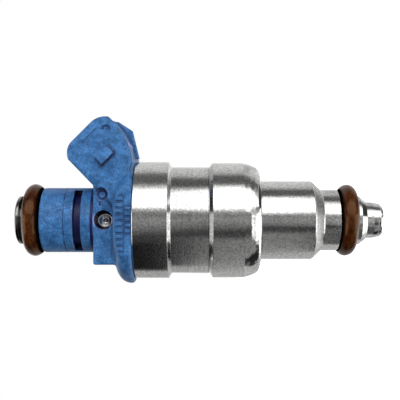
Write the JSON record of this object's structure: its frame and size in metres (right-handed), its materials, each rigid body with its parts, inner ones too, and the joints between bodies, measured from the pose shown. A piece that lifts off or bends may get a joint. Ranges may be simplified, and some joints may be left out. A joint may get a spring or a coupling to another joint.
{
  "type": "fuel injector",
  "caption": "Top-feed petrol injector: stepped steel housing, plastic overmould with angled electrical socket, O-rings at both ends, solenoid, spring and sliding needle valve inside.",
  "frame": {"origin": "on the injector's axis, in the mid-plane of the lower O-ring, where the manifold's bore holds it", "axes": "+Z along the injector's axis towards the fuel inlet, +X towards the side that the electrical connector leans to, at 45 degrees between +X and +Z"},
  "size_m": [0.033, 0.0238, 0.074],
  "materials": {
    "blue_plastic": "satin moulded, glass-filled nylon",
    "tinned_blade": "tin plate",
    "turned_steel": "fine turned, bright",
    "plain_steel": "satin",
    "hardened_steel": "ground",
    "spring_steel": "drawn wire",
    "steel_gauze": "woven gauze",
    "brass": "drawn",
    "copper_wire": "enamelled copper windings",
    "black_nylon": "moulded",
    "white_nylon": "moulded",
    "brown_rubber": "smooth fluoro-rubber",
    "black_rubber": "smooth"
  },
  "bodies": {
    "injector_body": {"overmold_body": "blue_plastic", "terminal_left": "tinned_blade", "terminal_right": "tinned_blade", "inlet_core": "turned_steel", "filter_collar": "brass", "filter_frame": "white_nylon", "filter_mesh": "steel_gauze", "adjusting_sleeve": "plain_steel", "return_spring": "spring_steel", "upper_oring": "brown_rubber", "coil_bobbin": "black_nylon", "coil_winding": "copper_wire", "upper_bobbin_seal": "black_rubber", "lower_bobbin_seal": "black_rubber", "flux_washer": "plain_steel", "solenoid_can": "turned_steel", "nonmagnetic_shell": "plain_steel", "lift_shim": "plain_steel", "valve_body": "turned_steel", "armature_guide": "plain_steel", "needle_guide_disc": "plain_steel", "valve_seat": "hardened_steel", "orifice_disc": "plain_steel", "backup_washer": "plain_steel", "lower_oring": "brown_rubber", "oring_collar": "turned_steel"},
    "needle_armature": {"armature": "plain_steel", "valve_needle": "hardened_steel"}
  },
  "joints": [
    {"name": "needle_lift", "type": "slide", "parent": "injector_body", "child": "needle_armature", "axis": [0, 0, 1], "range_m": [0, 0.00012], "stiffness_N_per_m": 2000, "deforming": ["return_spring"]}
  ]
}
